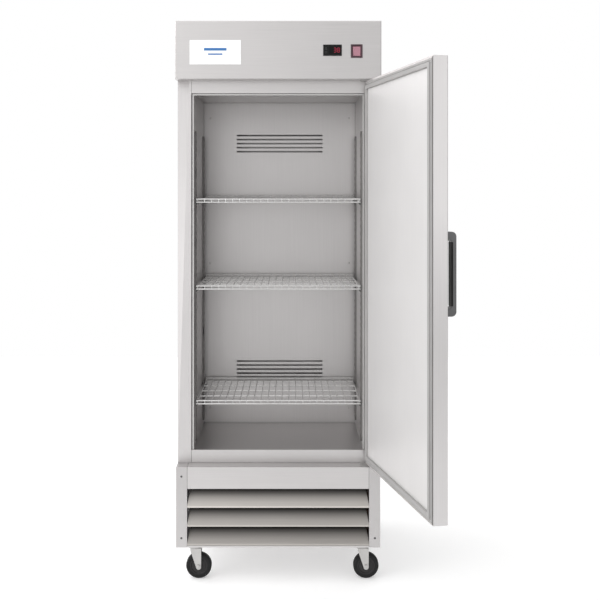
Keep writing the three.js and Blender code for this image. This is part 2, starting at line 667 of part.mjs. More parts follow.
// Origin: on the floor, under the middle of the object's bounding box.
const object = new THREE.Group();
object.add(cabinet);
object.updateMatrixWorld(true);
const middle = new THREE.Box3().setFromObject(object, true).getCenter(new THREE.Vector3());
cabinet.position.set(-middle.x, -middle.y, 0);

export default object;
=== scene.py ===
import json
import math

import bmesh
import bpy
from mathutils import Matrix, Vector

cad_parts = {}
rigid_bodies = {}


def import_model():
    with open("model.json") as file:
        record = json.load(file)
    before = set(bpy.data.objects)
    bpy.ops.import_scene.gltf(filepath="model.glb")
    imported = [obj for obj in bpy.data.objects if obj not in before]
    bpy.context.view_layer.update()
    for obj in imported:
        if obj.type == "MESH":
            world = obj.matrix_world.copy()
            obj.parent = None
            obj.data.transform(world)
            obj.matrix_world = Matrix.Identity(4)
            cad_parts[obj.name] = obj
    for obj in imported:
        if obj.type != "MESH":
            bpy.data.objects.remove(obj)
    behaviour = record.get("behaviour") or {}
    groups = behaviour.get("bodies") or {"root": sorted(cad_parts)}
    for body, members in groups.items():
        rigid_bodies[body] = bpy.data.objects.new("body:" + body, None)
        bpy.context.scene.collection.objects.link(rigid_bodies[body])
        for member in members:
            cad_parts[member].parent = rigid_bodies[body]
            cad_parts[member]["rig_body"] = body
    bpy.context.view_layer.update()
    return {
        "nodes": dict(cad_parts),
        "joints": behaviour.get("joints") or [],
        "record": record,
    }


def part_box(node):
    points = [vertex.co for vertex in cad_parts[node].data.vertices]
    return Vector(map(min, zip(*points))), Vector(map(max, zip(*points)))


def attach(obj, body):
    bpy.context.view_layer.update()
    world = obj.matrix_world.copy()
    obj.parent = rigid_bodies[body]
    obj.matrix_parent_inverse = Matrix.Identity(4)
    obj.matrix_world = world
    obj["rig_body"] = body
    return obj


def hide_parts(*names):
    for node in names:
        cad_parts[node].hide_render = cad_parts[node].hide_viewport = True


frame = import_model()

# Looks of the reach-in refrigerator. Metres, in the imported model's frame:
# +X right of a person facing the opening, +Y to the back, +Z up, the floor at Z = 0.

MM = 0.001
JOINTS = {j["name"]: j for j in frame["joints"]}

# ---- places read from the frame ----
HEADER_LO, HEADER_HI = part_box("header_panel")
FRONT_Y = HEADER_LO.y
CENTRE_X = (HEADER_LO.x + HEADER_HI.x) / 2
KICK_LO, KICK_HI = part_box("kick_plate")

# The door's own axes: it is drawn shut, from its hinge line, and swung to its place at rest.
HINGE = Vector(JOINTS["door_hinge"]["pos_m"])
DOOR_SWING = -math.radians(JOINTS["door_hinge"]["range_deg"][0])
DOOR_AXES = Matrix.Translation((HINGE.x, HINGE.y, 0)) @ Matrix.Rotation(DOOR_SWING, 4, "Z")

# ---- sheet metal sizes ----
SHEET = 1.5 * MM
EDGE = 0.4 * MM  # rounding of a cut edge
BEND = 2.6 * MM  # outside radius of a fold
HEADER_BEND = 3 * MM
KICK_BEND = 5 * MM
FOLD_ANGLE = math.radians(60)
LEAST_FLANGE = 5 * SHEET


def local_box(node, axes):
    """A CAD node's corners, measured along another set of axes."""
    back = axes.inverted()
    points = [back @ v.co for v in frame["nodes"][node].data.vertices]
    low = Vector([min(p[i] for p in points) for i in range(3)])
    high = Vector([max(p[i] for p in points) for i in range(3)])
    return low, high


# ---- node materials. The helpers take a material or the world as their owner. ----
def link(owner, out_node, out_socket, in_node, in_socket):
    owner.node_tree.links.new(out_node.outputs[out_socket], in_node.inputs[in_socket])


def add_node(owner, kind, **values):
    node = owner.node_tree.nodes.new(kind)
    for key, value in values.items():
        if key in node.inputs:
            node.inputs[key].default_value = value
        else:
            setattr(node, key, value)
    return node


def coordinate(owner, output, axis):
    """One coordinate of the shading point, as a node with its value on the output named axis."""
    coords = add_node(owner, "ShaderNodeTexCoord")
    split = add_node(owner, "ShaderNodeSeparateXYZ")
    link(owner, coords, output, split, "Vector")
    return split, axis


def rescale(owner, source, before, after, **values):
    """Maps the range before onto the range after. The source is a node and its output socket."""
    node = add_node(owner, "ShaderNodeMapRange", **values)
    for name, value in zip(("From Min", "From Max", "To Min", "To Max"), (*before, *after)):
        node.inputs[name].default_value = value
    link(owner, *source, node, "Value")
    return node, "Result"


def multiply(owner, first, second):
    """One colour times another. Each is a node and its output socket."""
    node = add_node(owner, "ShaderNodeMix", data_type="RGBA", blend_type="MULTIPLY")
    node.inputs["Factor"].default_value = 1.0
    link(owner, *first, node, "A")
    link(owner, *second, node, "B")
    return node, "Result"


def shader_of(material):
    return material.node_tree.nodes["Principled BSDF"]


def principled(name, colour, roughness, metallic=0.0, **sockets):
    material = bpy.data.materials.new(name)
    material.use_nodes = True
    material.diffuse_color = (*colour, 1)
    shader = shader_of(material)
    shader.inputs["Base Color"].default_value = (*colour, 1)
    shader.inputs["Roughness"].default_value = roughness
    shader.inputs["Metallic"].default_value = metallic
    for socket, value in sockets.items():
        shader.inputs[socket.replace("_", " ")].default_value = value
    return material


def noise(material, scale, stretch=(1, 1, 1), detail=3.0):
    """A noise in the piece's own coordinates, stretched by a different amount along each axis."""
    coords = add_node(material, "ShaderNodeTexCoord")
    mapping = add_node(material, "ShaderNodeMapping", Scale=stretch)
    texture = add_node(material, "ShaderNodeTexNoise", Scale=scale, Detail=detail)
    link(material, coords, "Object", mapping, "Vector")
    link(material, mapping, "Vector", texture, "Vector")
    return texture, "Fac"


NOISE_MIDDLE = (0.3, 0.7)  # the range that a noise mostly keeps to


def spread(material, source, low, high):
    """Maps a noise's middle range onto low to high."""
    return rescale(material, source, NOISE_MIDDLE, (low, high))


def drift(material, colour, below, above, source):
    """A colour that drifts from below times itself to above times itself."""
    mix = add_node(material, "ShaderNodeMix", data_type="RGBA")
    mix.inputs["A"].default_value = (*[c * below for c in colour], 1)
    mix.inputs["B"].default_value = (*[min(1, c * above) for c in colour], 1)
    link(material, *source, mix, "Factor")
    return mix, "Result"


def bump(material, source, strength, distance):
    node = add_node(material, "ShaderNodeBump", Strength=strength, Distance=distance)
    link(material, *source, node, "Height")
    link(material, node, "Normal", shader_of(material), "Normal")


def corner_dust_and_shade(material, colour, reach, darkest):
    """Painted shade, and a little dust, where surfaces meet: the colour falls towards darkest close
    to a corner, as ambient occlusion finds it.
    """
    occlusion = add_node(material, "ShaderNodeAmbientOcclusion", Distance=reach, samples=6)
    openness = rescale(material, (occlusion, "AO"), (0.25, 0.9), (darkest, 1.0))
    link(material, *multiply(material, colour, openness), shader_of(material), "Base Color")


FINE_SHARE = 0.62  # of the brush lines in the steel's drift of shade; slow clouds make up the rest
STEEL_SHADES = (0.94, 1.05)
BRUSH_DEPTH = 0.12 * MM


def brushed(name, colour, roughness, grain, metallic, darkest, reach):
    """Brushed sheet steel. grain is the stretch of the brush lines along X, Y and Z."""
    material = principled(name, colour, roughness, metallic)
    lines = noise(material, 1.0, grain, 2.0)
    clouds = noise(material, 3.1, detail=4.0)
    mottle = add_node(material, "ShaderNodeMath", operation="ADD")
    link(material, *spread(material, lines, 0.0, FINE_SHARE), mottle, 0)
    link(material, *spread(material, clouds, 0.0, 1 - FINE_SHARE), mottle, 1)
    shade = drift(material, colour, *STEEL_SHADES, (mottle, "Value"))
    # painted shade, and a little dust, in the corners
    corner_dust_and_shade(material, shade, reach, darkest)
    rough = spread(material, lines, roughness - 0.05, roughness + 0.06)
    link(material, *rough, shader_of(material), "Roughness")
    bump(material, lines, 0.12, BRUSH_DEPTH)
    return material


def mottled(name, colour, roughness, scale, amount, bumpiness, depth, metallic=0.0, **sockets):
    """Moulded or painted surface with a fine texture and a slow drift in shade."""
    material = principled(name, colour, roughness, metallic, **sockets)
    shader = shader_of(material)
    grain = noise(material, scale * 12)
    clouds = noise(material, scale / 6, detail=4.0)
    shade = drift(material, colour, 1 - amount, 1 + amount, spread(material, clouds, 0.0, 1.0))
    link(material, *shade, shader, "Base Color")
    rough = spread(material, grain, max(0.03, roughness - 0.07), min(1, roughness + 0.07))
    link(material, *rough, shader, "Roughness")
    bump(material, grain, bumpiness, depth)
    return material


def glowing(name, colour, strength):
    material = principled(name, colour, 0.4)
    shader = shader_of(material)
    shader.inputs["Emission Color"].default_value = (*colour, 1)
    shader.inputs["Emission Strength"].default_value = strength
    flicker = spread(material, noise(material, 900.0), 0.0, 1.0)
    link(material, *drift(material, colour, 0.92, 1.08, flicker), shader, "Base Color")
    return material


LEVEL_GRAIN = (5, 5, 900)
UPRIGHT_GRAIN = (900, 900, 5)


def sheet_steel(name, colour, roughness, grain):
    """The clean outer steel, with painted shade and a little dust only right in its corners."""
    return brushed(name, colour, roughness, grain, 1.0, 0.85, 12 * MM)


STEEL = sheet_steel("stainless_level", (0.60, 0.583, 0.58), 0.33, LEVEL_GRAIN)
STEEL_UPRIGHT = sheet_steel("stainless_upright", (0.62, 0.602, 0.60), 0.33, UPRIGHT_GRAIN)
# painted light: the door's steel is a lighter copy of the same stainless, standing in for the light
# on the door
DOOR_STEEL_PAINTED_LIGHTER = sheet_steel("stainless_door_painted_lighter", (0.74, 0.72, 0.718), 0.33, UPRIGHT_GRAIN)
# painted shade: the base's steel is a darker copy of the same stainless
BASE_STEEL_PAINTED_DARKER = sheet_steel("stainless_base_painted_darker", (0.53, 0.515, 0.513), 0.35, UPRIGHT_GRAIN)

# darkest and reach set the painted shade in each material's corners
# name, colour, roughness, grain, metallic, darkest, reach
# painted shade: the blades' steel is a darker copy of the stainless, with deep painted shade in its
# corners
BLADE_STEEL_PAINTED_SHADE = brushed("stainless_blade_painted_shade", (0.52, 0.50, 0.48), 0.36, LEVEL_GRAIN, 1.0, 0.4, 0.03)
# painted shade: the liner is a darker copy of the stainless, for the shade inside the cabinet, and
# darkens in its corners too
LINER_STEEL_PAINTED_DARKER = brushed("liner_steel", (0.52, 0.505, 0.502), 0.34, UPRIGHT_GRAIN, 0.95, 0.75, 0.02)
# painted shade: the pilasters are steel painted nearly black, standing in for the shadow along them
PILASTER_STEEL_PAINTED_SHADE = brushed("pilaster_painted_shade", (0.17, 0.163, 0.16), 0.42, UPRIGHT_GRAIN, 0.9, 0.4, 0.01)
DOOR_LINER = brushed("door_liner", (0.66, 0.648, 0.645), 0.42, UPRIGHT_GRAIN, 0.2, 0.85, 0.008)

# name, colour, roughness, scale, amount, bumpiness, depth, metallic
CHROME_WIRE = mottled("chrome_wire", (0.64, 0.632, 0.625), 0.3, 80, 0.05, 0.05, 0.0001, 0.75)
ZINC = mottled("zinc_plate", (0.49, 0.482, 0.473), 0.36, 90, 0.09, 0.1, 0.0001, 0.9)
DARK_ZINC = mottled("dark_zinc", (0.12, 0.12, 0.12), 0.4, 90, 0.12, 0.1, 0.0001, 0.8)
BLACK_PLASTIC = mottled("black_plastic", (0.008, 0.008, 0.008), 0.42, 70, 0.2, 0.25, 0.0002,
                        Specular_IOR_Level=0.2)
BUTTON_GREY = mottled("button_grey", (0.02, 0.02, 0.021), 0.45, 70, 0.2, 0.2, 0.0002,
                      Specular_IOR_Level=0.3)
GASKET = mottled("gasket_rubber", (0.34, 0.332, 0.328), 0.62, 40, 0.05, 0.2, 0.0002)
# painted shadow: a dark colour for strips set where there is only the shadow of a gap
GAP_SHADOW_DARK = mottled("painted_gap_shadow", (0.13, 0.125, 0.122), 0.5, 60, 0.12, 0.2, 0.0002)
TRIM = mottled("trim_plastic", (0.49, 0.482, 0.475), 0.45, 60, 0.03, 0.1, 0.0001)
FOAM = mottled("foam", (0.78, 0.70, 0.46), 0.9, 30, 0.12, 0.8, 0.001)
ENAMEL = mottled("black_enamel", (0.022, 0.022, 0.024), 0.36, 60, 0.2, 0.1, 0.0001)
FINS = mottled("fin_alloy", (0.34, 0.345, 0.35), 0.45, 80, 0.1, 0.1, 0.0001, 1.0)
FAN_GREY = mottled("fan_grey", (0.09, 0.09, 0.095), 0.5, 60, 0.12, 0.2, 0.0002)
COPPER = mottled("copper_tube", (0.10, 0.052, 0.036), 0.5, 60, 0.3, 0.1, 0.0001, 0.6)
ROCKER = mottled("rocker_key", (0.37, 0.17, 0.215), 0.28, 60, 0.1, 0.05, 0.0001, Coat_Weight=0.3)
ROCKER_FRAME = mottled("rocker_frame", (0.052, 0.022, 0.03), 0.36, 70, 0.2, 0.15, 0.0001)
PLATE = mottled("plate_white", (0.93, 0.93, 0.93), 0.28, 60, 0.02, 0.04, 0.0001, Coat_Weight=0.3)
RUBBER = mottled("caster_rubber", (0.0075, 0.0075, 0.0078), 0.68, 50, 0.3, 0.35, 0.0004,
                 Specular_IOR_Level=0.3)
HUB_BLACK = mottled("caster_hub", (0.017, 0.016, 0.0165), 0.5, 50, 0.3, 0.25, 0.0003,
                    Specular_IOR_Level=0.35)
HANDLE_GREY = mottled("handle_grey", (0.125, 0.125, 0.127), 0.34, 70, 0.12, 0.2, 0.0002)
LENS = mottled("display_lens", (0.005, 0.005, 0.005), 0.2, 60, 0.2, 0.02, 0.0001,
               Specular_IOR_Level=0.15)
DIGITS = glowing("digit_red", (0.30, 0.008, 0.035), 0.12)
LED = mottled("light_lens", (0.86, 0.87, 0.88), 0.35, 60, 0.02, 0.05, 0.0001)
MARK_BLUE = mottled("plate_mark", (0.03, 0.16, 0.42), 0.35, 60, 0.08, 0.04, 0.0001)

# painted shade up one louvre blade: part of its height, and how much light is left there; the
# levels above 1 are a painted highlight on its lip
BLADE_SHADE = [(0.0, 1.2), (0.075, 1.2), (0.11, 0.92), (0.3, 0.78), (0.5, 0.52), (0.68, 0.24),
               (0.82, 0.09), (0.93, 0.04)]


def shade_up_blades(material, low, pitch):
    """Painted shade that deepens towards the top of each blade, from a painted highlight on its
    lip.
    """
    shader = shader_of(material)
    below = shader.inputs["Base Color"].links[0].from_node
    height = coordinate(material, "Object", "Z")
    lift = add_node(material, "ShaderNodeMath", operation="SUBTRACT")
    lift.inputs[1].default_value = low
    turns = add_node(material, "ShaderNodeMath", operation="DIVIDE")
    turns.inputs[1].default_value = pitch
    part = add_node(material, "ShaderNodeMath", operation="FRACT")
    ramp = add_node(material, "ShaderNodeValToRGB")
    while len(ramp.color_ramp.elements) < len(BLADE_SHADE):
        ramp.color_ramp.elements.new(0.5)
    for element, (place, level) in zip(ramp.color_ramp.elements, BLADE_SHADE):
        element.position = place
        element.color = (level, level * 0.985, level * 0.97, 1)
    link(material, *height, lift, 0)
    link(material, lift, "Value", turns, 0)
    link(material, turns, "Value", part, 0)
    link(material, part, "Value", ramp, "Fac")
    shade = multiply(material, (below, "Result"), (ramp, "Color"))
    # painted shade: the lower blades are painted darker and the upper ones lighter
    depth = rescale(material, (turns, "Value"), (0.5, 2.5), (0.78, 1.12))
    link(material, *multiply(material, shade, depth), shader, "Base Color")


# ---- mesh tools ----
def finish_piece(name, bm, material, body, axes=None, smooth=35):
    """Makes an object of a bmesh, in place, riding on a body."""
    if axes is not None:
        bm.transform(axes)
    bmesh.ops.recalc_face_normals(bm, faces=bm.faces)
    mesh = bpy.data.meshes.new(name)
    bm.to_mesh(mesh)
    bm.free()
    mesh.shade_smooth()
    mesh.set_sharp_from_angle(angle=math.radians(smooth))
    piece = bpy.data.objects.new(name, mesh)
    bpy.context.scene.collection.objects.link(piece)
    mesh.materials.append(material)
    normals = piece.modifiers.new("even_normals", "WEIGHTED_NORMAL")
    normals.keep_sharp = True
    normals.weight = 90
    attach(piece, body)
    return piece


def round_edges(bm, edges, width, segments):
    bmesh.ops.bevel(bm, geom=edges, offset=width, offset_type="OFFSET", segments=segments,
                    profile=0.5, affect="EDGES", clamp_overlap=True)


SHARP_ANGLE = math.radians(25)


def soften(bm, width, segments):
    """Rounds every sharp edge."""
    sharp = [e for e in bm.edges if e.is_manifold and e.calc_face_angle(0) > SHARP_ANGLE]
    round_edges(bm, sharp, width, segments)


def reach_of(face, edge):
    """How far a face runs back from one of its edges."""
    start = edge.verts[0].co
    along = (edge.verts[1].co - start).normalized()
    return max(((v.co - start) - (v.co - start).dot(along) * along).length for v in face.verts)


def round_folds(bm, radius, where=None):
    """Bends the folds of a sheet round a radius: the outside by it, the inside by less a sheet."""
    for outside, width in ((True, radius), (False, radius - SHEET)):
        folds = []
        for edge in bm.edges:
            if not edge.is_manifold or edge.is_convex != outside:
                continue
            if edge.calc_face_angle(0) < FOLD_ANGLE:
                continue
            if where and not all(where(v.co) for v in edge.verts):
                continue
            if min(reach_of(face, edge) for face in edge.link_faces) > LEAST_FLANGE:
                folds.append(edge)
        if folds:
            round_edges(bm, folds, width, 4)


def refine(node, material, width, segments=2, fold=0, where=None):
    """A CAD node's shape with its edges rounded as folded sheet or moulded plastic is."""
    source = frame["nodes"][node]
    bm = bmesh.new()
    bm.from_mesh(source.data)
    bmesh.ops.remove_doubles(bm, verts=bm.verts, dist=1e-6)
    bmesh.ops.dissolve_limit(bm, angle_limit=math.radians(0.6), verts=bm.verts, edges=bm.edges)
    if fold:
        round_folds(bm, fold, where)
    soften(bm, width, segments)
    piece = finish_piece(node + "_skin", bm, material, source["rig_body"])
    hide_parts(node)


def add_box(bm, low, high):
    low, high = Vector(low), Vector(high)
    matrix = Matrix.Translation((low + high) / 2) @ Matrix.Diagonal((*(high - low), 1))
    bmesh.ops.create_cube(bm, size=1, matrix=matrix)


def axes_along(point, direction):
    """Axes at a point, with +Z along a direction."""
    turn = Vector(direction).to_track_quat("Z", "Y").to_matrix().to_4x4()
    return Matrix.Translation(point) @ turn


def add_rod(bm, start, end, radius, sides):
    start, end = Vector(start), Vector(end)
    along = end - start
    bmesh.ops.create_cone(bm, cap_ends=True, segments=sides, radius1=radius, radius2=radius,
                          depth=along.length, matrix=axes_along((start + end) / 2, along))


def add_tube(bm, points, radius, sides):
    """A round tube along a line of points, with flat ends."""
    points = [Vector(p) for p in points]
    rings = []
    side = None
    for i, point in enumerate(points):
        ahead = (points[min(i + 1, len(points) - 1)] - points[max(i - 1, 0)]).normalized()
        if side is None:
            side = ahead.orthogonal().normalized()
        side = (side - ahead * side.dot(ahead)).normalized()
        other = ahead.cross(side)
        ring = []
        for k in range(sides):
            a = 2 * math.pi * k / sides
            ring.append(bm.verts.new(point + radius * (math.cos(a) * side + math.sin(a) * other)))
        rings.append(ring)
    for a, b in zip(rings, rings[1:]):
        for k in range(sides):
            bm.faces.new((a[k], a[(k + 1) % sides], b[(k + 1) % sides], b[k]))
    bm.faces.new(rings[0][::-1])
    bm.faces.new(rings[-1])


def add_turned(bm, profile, sides, axes):
    """A turned shape about +Z of axes: profile is a closed loop, or an open line that starts and
    ends on the axis, of (radius, height)."""
    rings = []
    for radius, height in profile:
        if radius < 1e-7:
            rings.append([bm.verts.new(axes @ Vector((0, 0, height)))])
            continue
        ring = []
        for k in range(sides):
            a = 2 * math.pi * k / sides
            point = Vector((radius * math.cos(a), radius * math.sin(a), height))
            ring.append(bm.verts.new(axes @ point))
        rings.append(ring)
    closed = len(rings[0]) > 1
    pairs = list(zip(rings, rings[1:])) + ([(rings[-1], rings[0])] if closed else [])
    for a, b in pairs:
        for k in range(sides):
            loop = [a[k % len(a)], a[(k + 1) % len(a)], b[(k + 1) % len(b)], b[k % len(b)]]
            corners = list(dict.fromkeys(loop))
            if len(corners) > 2:
                bm.faces.new(corners)


def pan_head(bm, point, direction, radius):
    """A pan-head screw with a dimpled head, standing on a surface."""
    r, h = radius, 2.2 * MM
    profile = [(0, -0.2 * MM), (r, -0.2 * MM), (r, 0.25 * h), (0.86 * r, 0.7 * h),
               (0.6 * r, 0.93 * h), (0.32 * r, h), (0.1 * r, 0.62 * h), (0, 0.55 * h)]
    add_turned(bm, profile, 16, axes_along(point, direction))


def screws(name, places, direction, material, radius):
    bm = bmesh.new()
    for place in places:
        pan_head(bm, place, direction, radius)
    finish_piece(name, bm, material, "cabinet")


def hex_head(bm, point, direction, across, height):
    r = across / math.sqrt(3)
    profile = [(0, 0), (r, 0), (r, 0.82 * height), (0.86 * r, height), (0, height)]
    add_turned(bm, profile, 6, axes_along(point, direction))


# ---- camera: level, in front of the opening and a little right of the cabinet's centre ----
CAMERA_BACK = 3.640
CAMERA_RIGHT = 0.0451
CAMERA_HEIGHT = 1.3675
LENS_LENGTH = 62.52  # mm, on a sensor 36 mm wide
LENS_SHIFT = (0.015, -0.1777)


def make_camera():
    data = bpy.data.cameras.new("camera")
    camera = bpy.data.objects.new("camera", data)
    bpy.context.scene.collection.objects.link(camera)
    camera.location = (CENTRE_X + CAMERA_RIGHT, FRONT_Y - CAMERA_BACK, CAMERA_HEIGHT)
    camera.rotation_euler = (math.radians(90), 0, 0)
    data.sensor_width = 36
    data.lens = LENS_LENGTH
    data.shift_x, data.shift_y = LENS_SHIFT
    data.clip_start = 0.05
    bpy.context.scene.camera = camera


# ---- pale floor, studio world and soft lights ----
FLOOR_HALF = 5
FLOOR_GLOW = (0.05, 0.34)
FLOOR_GLOW_FROM, FLOOR_GLOW_TO = -1.6, -0.15  # along Y: it rises towards the cabinet's front, as painted light that lifts the floor's shade near and under the cabinet


def make_stage():
    bm = bmesh.new()
    bmesh.ops.create_grid(bm, x_segments=2, y_segments=2, size=FLOOR_HALF)
    mesh = bpy.data.meshes.new("floor")
    bm.to_mesh(mesh)
    bm.free()
    floor = bpy.data.objects.new("floor", mesh)
    bpy.context.scene.collection.objects.link(floor)
    material = mottled("floor_pale", (0.8, 0.8, 0.8), 0.7, 3, 0.01, 0.02, 0.0001)
    shader = shader_of(material)
    shader.inputs["Emission Color"].default_value = (1, 1, 1, 1)
    # painted light: the floor's glow rises towards the cabinet
    glow = rescale(material, coordinate(material, "Object", "Y"),
                   (FLOOR_GLOW_FROM, FLOOR_GLOW_TO), FLOOR_GLOW, interpolation_type="SMOOTHSTEP")
    link(material, *glow, shader, "Emission Strength")
    mesh.materials.append(material)
    floor.location.z = -0.5 * MM


def area_light(name, location, target, size, power):
    data = bpy.data.lights.new(name, "AREA")
    data.shape = "RECTANGLE"
    data.size, data.size_y = size
    data.energy = power
    light = bpy.data.objects.new(name, data)
    bpy.context.scene.collection.objects.link(light)
    light.location = location
    light.visible_camera = False
    toward = Vector(target) - Vector(location)
    light.rotation_euler = toward.to_track_quat("-Z", "Y").to_euler()


WORLD_LEFT, WORLD_RIGHT = 1.5, 0.45  # the strength of the studio's light from each side
WORLD_OVERHEAD = 0.75


def make_world():
    """A studio that is brighter on the left than on the right, and white behind the object."""
    world = bpy.data.worlds.new("studio")
    bpy.context.scene.world = world
    world.use_nodes = True
    sky = world.node_tree.nodes["Background"]
    side = rescale(world, coordinate(world, "Generated", "X"), (-0.45, 0.45),
                   (WORLD_LEFT, WORLD_RIGHT), interpolation_type="SMOOTHSTEP")
    rise = rescale(world, coordinate(world, "Generated", "Z"), (0.25, 0.85),
                   (1.0, WORLD_OVERHEAD), interpolation_type="SMOOTHSTEP")
    both = add_node(world, "ShaderNodeMath", operation="MULTIPLY")
    path = add_node(world, "ShaderNodeLightPath")
    pick = add_node(world, "ShaderNodeMix", B=1.0)
    link(world, *side, both, 0)
    link(world, *rise, both, 1)
    link(world, both, "Value", pick, "A")
    link(world, path, "Is Camera Ray", pick, "Factor")
    link(world, pick, "Result", sky, "Strength")
    sky.inputs["Color"].default_value = (1, 1, 1, 1)


def make_lights():
    area_light("key", (-3.4, -2.6, 2.7), (CENTRE_X, 0, 1.1), (2.4, 2.4), 45)
    area_light("top", (CENTRE_X, 0, 4.4), (CENTRE_X, 0.001, 0), (8, 8), 110)
    area_light("fill", (2.06, -3.15, 1.7), (0.4, -0.7, 1.4), (0.9, 1.8), 5)
    bpy.context.scene.view_settings.view_transform = "Standard"


make_camera()
make_stage()
make_world()
make_lights()


# ---- the same looks on every CAD node, shown or not ----
CAD_LOOKS = {
    "stainless": STEEL, "liner_steel": LINER_STEEL_PAINTED_DARKER, "door_liner": DOOR_LINER, "foam": FOAM,
    "trim_plastic": TRIM, "zinc": ZINC, "chrome_wire": CHROME_WIRE, "black_plastic": BLACK_PLASTIC,
    "gasket_grey": GASKET, "black_enamel": ENAMEL, "fin_alloy": FINS, "fan_grey": FAN_GREY,
    "rocker_red": ROCKER, "plate_white": PLATE, "caster_rubber": RUBBER,
}
for part in frame["record"]["subparts"]:
    slots = frame["nodes"][part["node"]].data.materials
    slots.clear()
    slots.append(CAD_LOOKS[part["material_slot"]])


# ---- sheet metal: the CAD shapes with folded edges ----
def make_sheet_metal():
    for node in ("outer_shell", "stile_left", "stile_right"):
        refine(node, STEEL_UPRIGHT, EDGE, fold=BEND)
    for node in ("base_side_left", "base_side_right"):
        refine(node, BASE_STEEL_PAINTED_DARKER, EDGE, fold=BEND)
    # the header is a tray that is open at the back, so only its front folds are rounded
    front = HEADER_LO.y + 3 * SHEET
    refine("header_panel", STEEL, EDGE, fold=HEADER_BEND, where=lambda point: point.y < front)
    for node in ("top_rail", "door_sill"):
        refine(node, STEEL, EDGE, fold=HEADER_BEND)
    refine("kick_plate", STEEL, EDGE, fold=KICK_BEND)
    refine("rear_panel", STEEL_UPRIGHT, 0.6 * MM)
    for node in ("rear_grille", "base_deck"):
        refine(node, STEEL, 0.5 * MM)
    refine("inner_liner", LINER_STEEL_PAINTED_DARKER, 0.5 * MM)
    refine("duct_panel", LINER_STEEL_PAINTED_DARKER, EDGE)
    refine("breaker_strip", TRIM, 0.6 * MM)
    blade_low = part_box("louver_grille")[0].z
    shade_up_blades(BLADE_STEEL_PAINTED_SHADE, blade_low, (KICK_LO.z - blade_low) / 3)
    refine("louver_grille", BLADE_STEEL_PAINTED_SHADE, 0.6 * MM)


SEAM_HALF = 1.5 * MM
SEAM_INSET = 0.5 * MM  # from the sheet's end into the joint
SEAM_SINK = 0.45 * MM  # below the front face


def make_seam_shadows():
    """Painted shadow: dark strips in the upright joints of the front, a little below the face."""
    rail_low, rail_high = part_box("top_rail")
    sill_low, sill_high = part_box("door_sill")
    joints = [(rail_low, rail_high, rail_low.z, HEADER_LO.z),
              (sill_low, sill_high, sill_low.z, sill_high.z),
              (KICK_LO, KICK_HI, KICK_LO.z, KICK_HI.z)]
    bm = bmesh.new()
    for low, high, base, top in joints:
        for x in (low.x - SEAM_INSET, high.x + SEAM_INSET):
            add_box(bm, (x - SEAM_HALF, low.y + SEAM_SINK, base + SHEET),
                    (x + SEAM_HALF, low.y + SHEET, top - SHEET))
    soften(bm, 0.2 * MM, 1)
    finish_piece("joint_painted_shadow", bm, GAP_SHADOW_DARK, "cabinet")


# ---- wire shelves, slotted pilasters and clips ----
WIRE_PITCH = 25 * MM
DECK_WIRE = 1.4 * MM  # radius of the deck wires
ROD = 2.7 * MM  # radius of the frame and cross rods
BACK_STOP = 10 * MM  # rise of the deck wires at the back
FRONT_DROP = 14 * MM  # from the upper front rod to the lower
SHELVES = ("top", "middle", "bottom")
SLOT_PITCH = 25 * MM
SLOT_PART = (0, 0.32, 0.68, 1)  # a slot's ends in one pitch of the pilaster
PILASTER_RIM = 6 * MM  # at each side of the slots
PILASTER_SHEET = 1.0 * MM


def make_shelf(name):
    node = "shelf_" + name
    low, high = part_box(node)
    top = high.z - BACK_STOP
    front, back = low.y + ROD, high.y - ROD
    under = top - 2 * DECK_WIRE - ROD
    middle = (low.x + high.x) / 2
    bm = bmesh.new()
    for drop in (ROD, FRONT_DROP):
        add_rod(bm, (low.x, front, top - drop), (high.x, front, top - drop), ROD, 12)
    for z in (under, high.z - ROD):
        add_rod(bm, (low.x, back, z), (high.x, back, z), ROD, 10)
    for part in (0.25, 0.5, 0.75):
        y = front + part * (back - front)
        add_rod(bm, (low.x + ROD, y, under), (high.x - ROD, y, under), ROD, 10)
    for x in (low.x + ROD, high.x - ROD):
        add_rod(bm, (x, front, under), (x, back, under), ROD, 10)
    count = round((high.x - low.x - 4 * ROD) / WIRE_PITCH)
    pitch = (high.x - low.x - 4 * ROD) / count
    deck = top - DECK_WIRE
    nose, tail = front - DECK_WIRE, back - DECK_WIRE
    for i in range(count + 1):
        x = middle + (i - count / 2) * pitch
        add_tube(bm, [
            (x, nose, top - 15.2 * MM), (x, nose, top - 5 * MM),
            (x, nose + 0.4 * MM, top - 2.2 * MM), (x, front + 2 * MM, deck),
            (x, back - 6 * MM, deck), (x, back - 2.2 * MM, deck + 0.8 * MM),
            (x, tail, deck + 3 * MM), (x, tail, high.z - 1.5 * MM)], DECK_WIRE, 6)
    piece = finish_piece(node + "_wires", bm, CHROME_WIRE, "cabinet")
    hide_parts(node)


